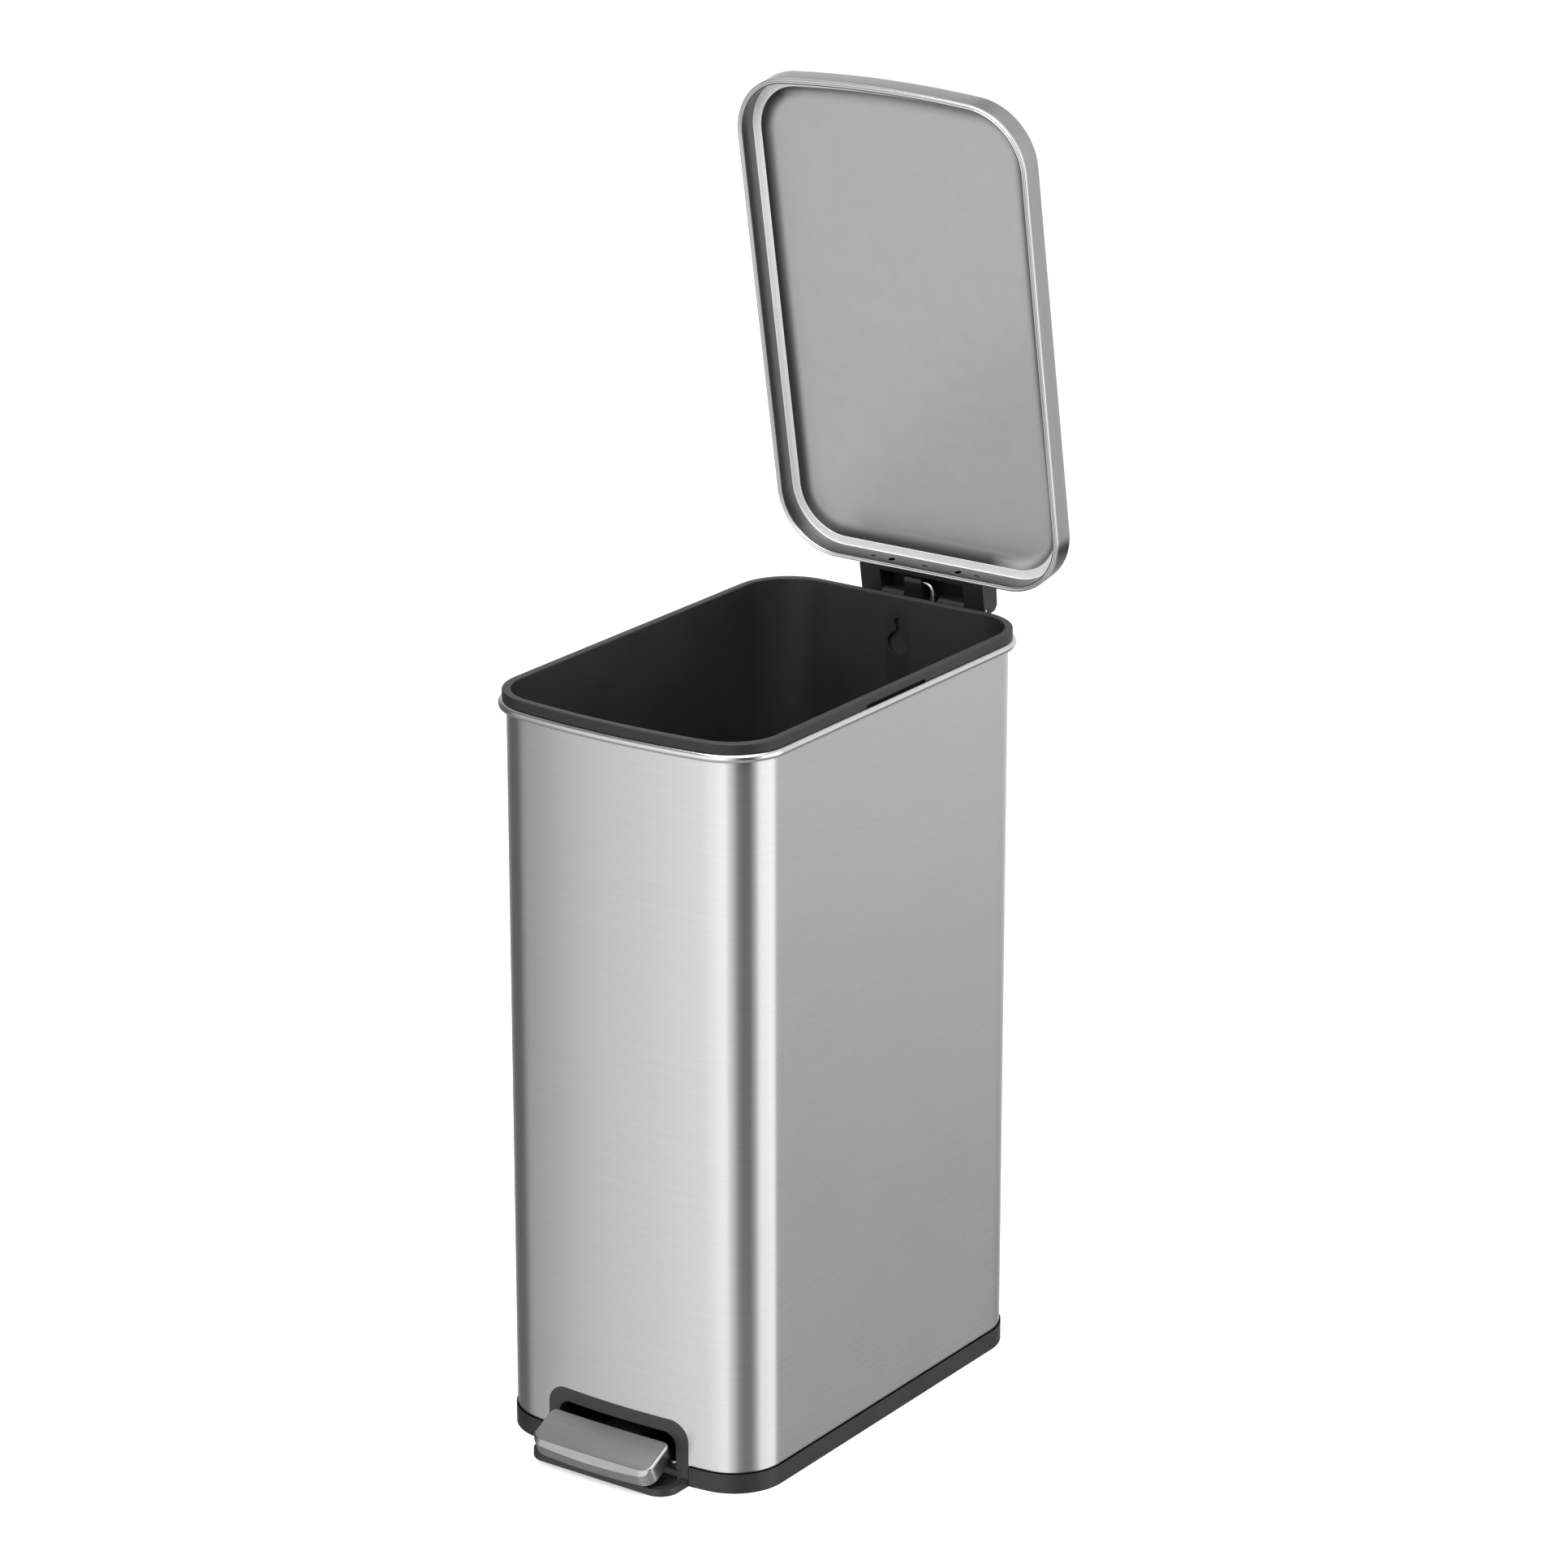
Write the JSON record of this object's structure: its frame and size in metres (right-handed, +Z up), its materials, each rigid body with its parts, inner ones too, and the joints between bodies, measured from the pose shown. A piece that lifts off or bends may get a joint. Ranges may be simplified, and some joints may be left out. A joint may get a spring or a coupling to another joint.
{
  "type": "pedal trash can",
  "caption": "Slim upright trash can with a bow-fronted brushed steel sleeve, lift-out black bucket, hinged steel lid and a foot pedal that raises the lid through a rod at the back.",
  "frame": {"origin": "on the floor under the centre of the steel sleeve", "axes": "+Z up, -Y towards the pedal and the user, +X to the right of a user who faces the pedal; the lid stands open and the pedal is down"},
  "size_m": [0.2852, 0.5095, 1.0997],
  "materials": {
    "sleeve_steel": "horizontally brushed",
    "bead_steel": "bright, lightly polished",
    "lid_steel": "brushed, bright rolled hem",
    "pan_steel": "satin",
    "pedal_steel": "satin, brushed across",
    "bucket_plastic": "fine moulded grain",
    "base_plastic": "moulded",
    "frame_plastic": "moulded",
    "hinge_plastic": "moulded",
    "cover_plastic": "moulded",
    "core_plastic": "moulded",
    "nylon": "natural",
    "rubber": "matt",
    "rod_steel": "drawn wire, zinc plated",
    "lever_steel": "zinc plated",
    "pin_steel": "ground",
    "screw_steel": "blackened"
  },
  "bodies": {
    "can": {"body_shell": "sleeve_steel", "rim_bead": "bead_steel", "liner_bucket": "bucket_plastic", "base_tray": "base_plastic", "foot_pads": "rubber", "pedal_surround": "frame_plastic", "surround_screws": "screw_steel", "hinge_housing": "hinge_plastic", "housing_screws": "screw_steel", "hinge_pins": "pin_steel", "rod_cover": "cover_plastic", "cover_screws": "screw_steel", "rod_guide": "nylon", "lever_axle": "pin_steel", "axle_clips": "pin_steel"},
    "lid": {"lid_shell": "lid_steel", "lid_inner_pan": "pan_steel", "hinge_bracket": "hinge_plastic", "bracket_screws": "screw_steel"},
    "lift_rod": {"lift_rod": "rod_steel", "rod_clip": "rod_steel"},
    "pedal": {"pedal_lever": "lever_steel", "lever_bushes": "nylon", "pedal_core": "core_plastic", "pedal_cap": "pedal_steel", "pedal_rivets": "lever_steel"}
  },
  "joints": [
    {"name": "lid_hinge", "type": "hinge", "parent": "can", "child": "lid", "pos_m": [0, 0.246, 0.6376], "axis": [1, 0, 0], "range_deg": [0, 79.86]},
    {"name": "rod_hook", "type": "hinge", "parent": "lid", "child": "lift_rod", "pos_m": [0, 0.244, 0.6528], "axis": [1, 0, 0], "range_deg": [-78.8, 0.3]},
    {"name": "pedal_axle", "type": "hinge", "parent": "can", "child": "pedal", "pos_m": [0, -0.02, 0.026], "axis": [1, 0, 0], "range_deg": [-3.66, 0.05]}
  ],
  "couplings": [
    {"joint": "rod_hook", "follows": "lid_hinge", "ratio": -0.98292},
    {"joint": "pedal_axle", "follows": "lid_hinge", "ratio": -0.045187}
  ]
}
